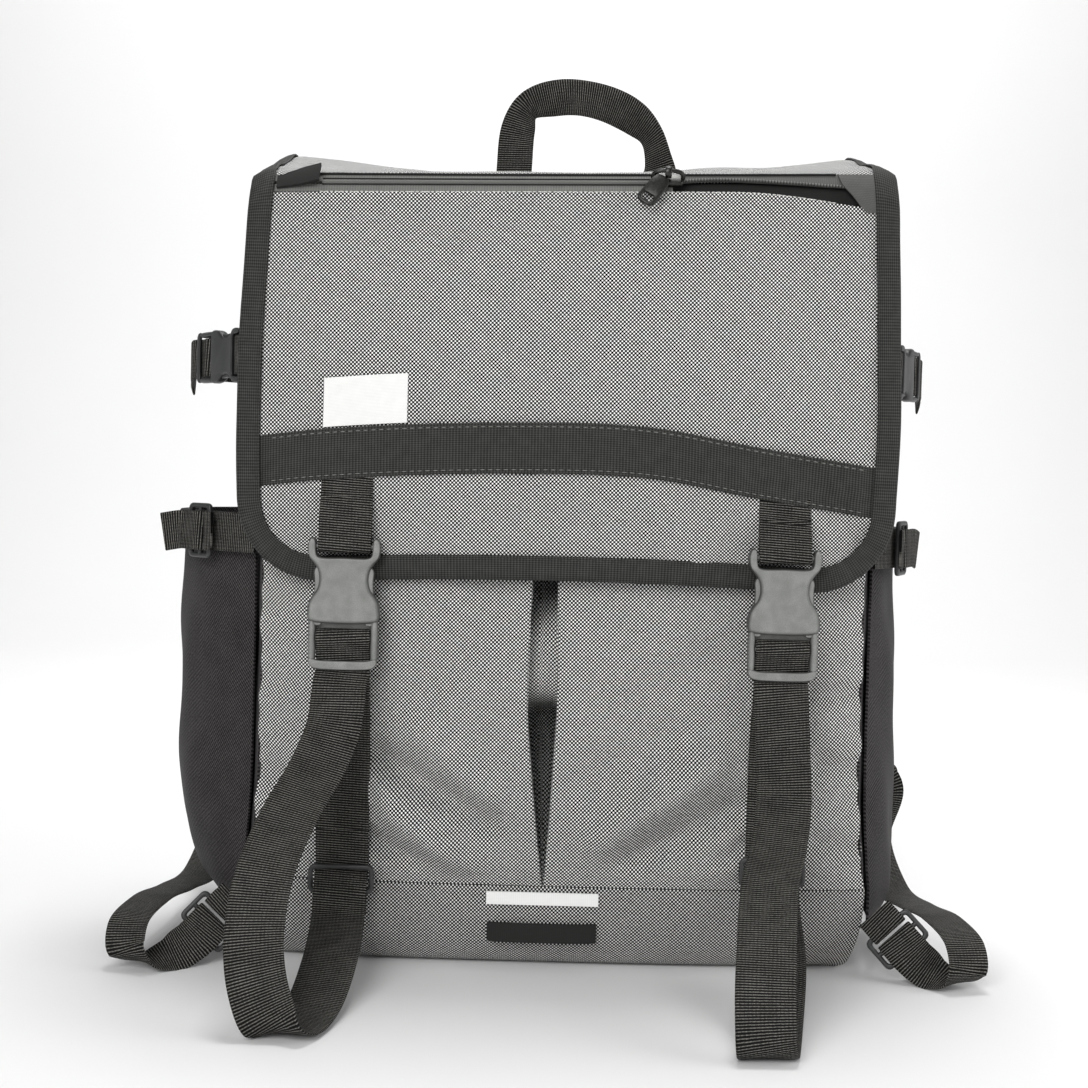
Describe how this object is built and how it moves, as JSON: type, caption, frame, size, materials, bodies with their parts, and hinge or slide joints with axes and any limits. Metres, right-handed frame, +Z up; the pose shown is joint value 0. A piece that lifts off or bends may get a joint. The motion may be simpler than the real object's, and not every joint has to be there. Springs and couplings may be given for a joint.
{
  "type": "rucksack",
  "caption": "Flap-top rucksack in grey and black cloth with buckled front straps, side pockets, a zipped flap pocket and padded shoulder straps.",
  "frame": {"origin": "on the floor under the middle of the bag", "axes": "+Z up, the bag's front faces -Y, +X to the right as seen from the front"},
  "size_m": [0.5275, 0.4156, 0.5814],
  "materials": {
    "grey_cloth": "coarse two-tone plain weave",
    "black_cloth": "matte plain weave",
    "black_webbing": "ribbed webbing",
    "pale_tape": "pale reflective tape",
    "white_label": "smooth woven label, blank",
    "dark_plastic": "matte moulded plastic",
    "steel": "dulled zip metal"
  },
  "bodies": {
    "bag": {"bottom_panel": "grey_cloth", "front_panel": "grey_cloth", "side_panel_left": "black_cloth", "side_panel_right": "black_cloth", "back_panel": "black_cloth", "pocket_left": "black_cloth", "pocket_hem_left": "black_webbing", "pocket_right": "black_cloth", "pocket_hem_right": "black_webbing", "flap_top": "grey_cloth", "flap_front": "grey_cloth", "zip_tape": "grey_cloth", "zip_tab_left": "black_cloth", "zip_patch_right": "black_cloth", "flap_binding": "black_webbing", "flap_band": "black_webbing", "flap_label": "white_label", "buckle_tab_left": "black_webbing", "buckle_socket_left": "dark_plastic", "buckle_plug_left": "dark_plastic", "strap_keeper_left": "dark_plastic", "keeper_tab_left": "black_webbing", "front_strap_left": "black_webbing", "buckle_tab_right": "black_webbing", "buckle_socket_right": "dark_plastic", "buckle_plug_right": "dark_plastic", "strap_keeper_right": "dark_plastic", "keeper_tab_right": "black_webbing", "front_strap_right": "black_webbing", "reflective_tab": "pale_tape", "light_loop": "black_webbing", "handle": "black_webbing", "zip_slider": "steel", "side_socket_left": "dark_plastic", "side_plug_left": "dark_plastic", "upper_strap_front_left": "black_webbing", "upper_strap_back_left": "black_webbing", "lower_slider_left": "dark_plastic", "lower_strap_front_left": "black_webbing", "lower_strap_back_left": "black_webbing", "shoulder_pad_left": "black_cloth", "shoulder_adjuster_left": "dark_plastic", "adjuster_tab_left": "black_webbing", "shoulder_webbing_left": "black_webbing", "side_socket_right": "dark_plastic", "side_plug_right": "dark_plastic", "upper_strap_front_right": "black_webbing", "upper_strap_back_right": "black_webbing", "lower_slider_right": "dark_plastic", "lower_strap_front_right": "black_webbing", "lower_strap_back_right": "black_webbing", "shoulder_pad_right": "black_cloth", "shoulder_adjuster_right": "dark_plastic", "adjuster_tab_right": "black_webbing", "shoulder_webbing_right": "black_webbing"},
    "zip_pull": {"zip_pull": "steel"}
  },
  "joints": [
    {"name": "zip_pull_swing", "type": "hinge", "parent": "bag", "child": "zip_pull", "pos_m": [0.05502, -0.10412, 0.48207], "axis": [-1, 0, 0], "range_deg": [0, 140]}
  ]
}
